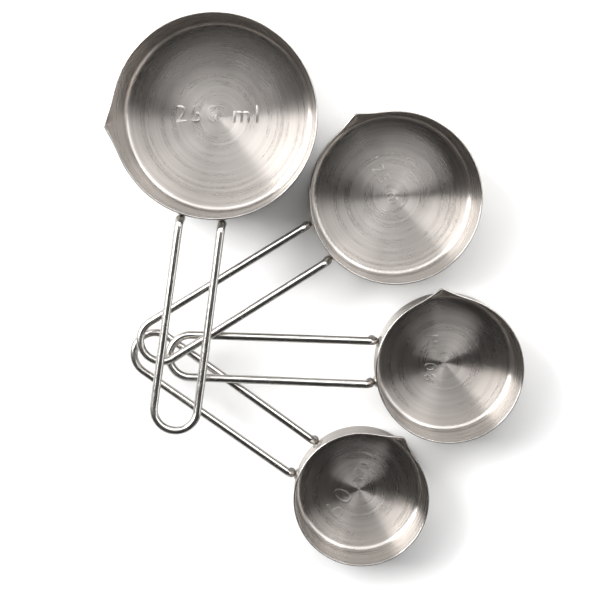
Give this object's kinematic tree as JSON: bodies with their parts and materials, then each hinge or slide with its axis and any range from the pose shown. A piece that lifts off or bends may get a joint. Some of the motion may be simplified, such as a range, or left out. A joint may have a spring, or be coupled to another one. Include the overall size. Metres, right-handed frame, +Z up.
{
  "type": "measuring cup set",
  "caption": "Set of steel measuring cups with pouring spouts and long round-wire loop handles, standing open side up with the handles crossed over each other in a fan.",
  "frame": {"origin": "centre of the whole set's box, on the counter that the cups stand on", "axes": "+Z up, out of the open cups; +Y towards the full cup, the long way of the fan; +X towards the bowls of the half and third cups, away from the handles' crossing"},
  "size_m": [0.181, 0.2422, 0.045],
  "materials": {
    "bowl_steel": "turned brushed stainless steel, grain in rings round the bowl's axis",
    "handle_wire": "drawn stainless wire, satin, grain along the wire",
    "weld_metal": "fused stainless, slightly darker and duller than the bowl"
  },
  "bodies": {
    "quarter_cup": {"quarter_cup_bowl": "bowl_steel", "quarter_cup_handle": "handle_wire", "quarter_cup_weld_left": "weld_metal", "quarter_cup_weld_right": "weld_metal"},
    "third_cup": {"third_cup_bowl": "bowl_steel", "third_cup_handle": "handle_wire", "third_cup_weld_left": "weld_metal", "third_cup_weld_right": "weld_metal"},
    "half_cup": {"half_cup_bowl": "bowl_steel", "half_cup_handle": "handle_wire", "half_cup_weld_left": "weld_metal", "half_cup_weld_right": "weld_metal"},
    "full_cup": {"full_cup_bowl": "bowl_steel", "full_cup_handle": "handle_wire", "full_cup_weld_left": "weld_metal", "full_cup_weld_right": "weld_metal"}
  },
  "joints": [
    {"name": "third_cup_lift", "type": "slide", "parent": "quarter_cup", "child": "third_cup", "axis": [0, 0, 1], "range_m": [0, 0.06]},
    {"name": "half_cup_lift", "type": "slide", "parent": "third_cup", "child": "half_cup", "axis": [0, 0, 1], "range_m": [0, 0.06]},
    {"name": "full_cup_lift", "type": "slide", "parent": "half_cup", "child": "full_cup", "axis": [0, 0, 1], "range_m": [0, 0.06]}
  ]
}
